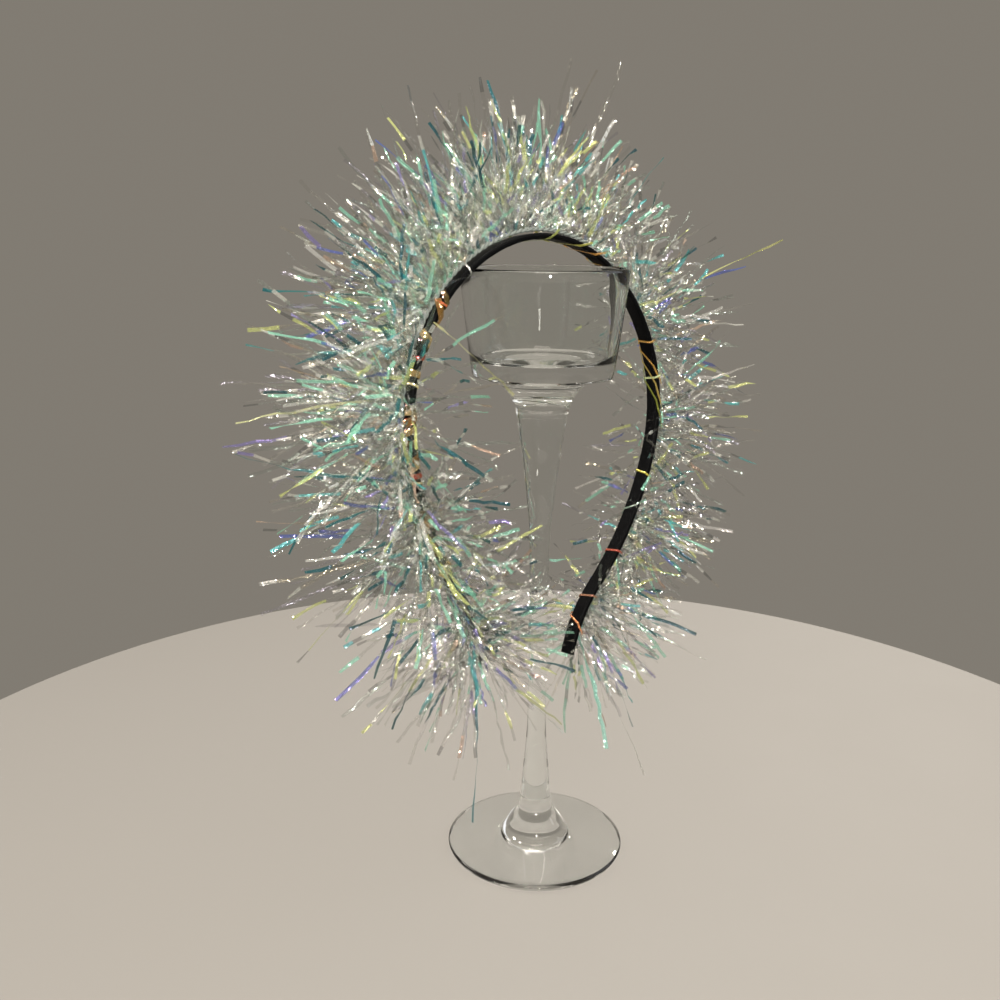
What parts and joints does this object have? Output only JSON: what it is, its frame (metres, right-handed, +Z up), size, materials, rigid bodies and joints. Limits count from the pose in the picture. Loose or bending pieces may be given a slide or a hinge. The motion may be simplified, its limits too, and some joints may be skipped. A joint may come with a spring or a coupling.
{
  "type": "garland headband on a glass stand",
  "caption": "Flat black headband trimmed along its outside with an iridescent film tinsel garland, hung over the rim of a tall stemmed glass tealight stand.",
  "frame": {"origin": "centre of the stand's foot, on its underside", "axes": "+Z up along the stand's axis, +X across the headband from ear to ear, +Y square to the headband's plane"},
  "size_m": [0.2186, 0.1101, 0.2867],
  "materials": {
    "clear_glass": "polished clear glass",
    "black_ribbon": "satin ribbon wrap",
    "iridescent_film": "thin iridescent film strips"
  },
  "bodies": {
    "root": {"glass_stand": "clear_glass", "headband": "black_ribbon", "tinsel_garland": "iridescent_film"}
  },
  "joints": []
}
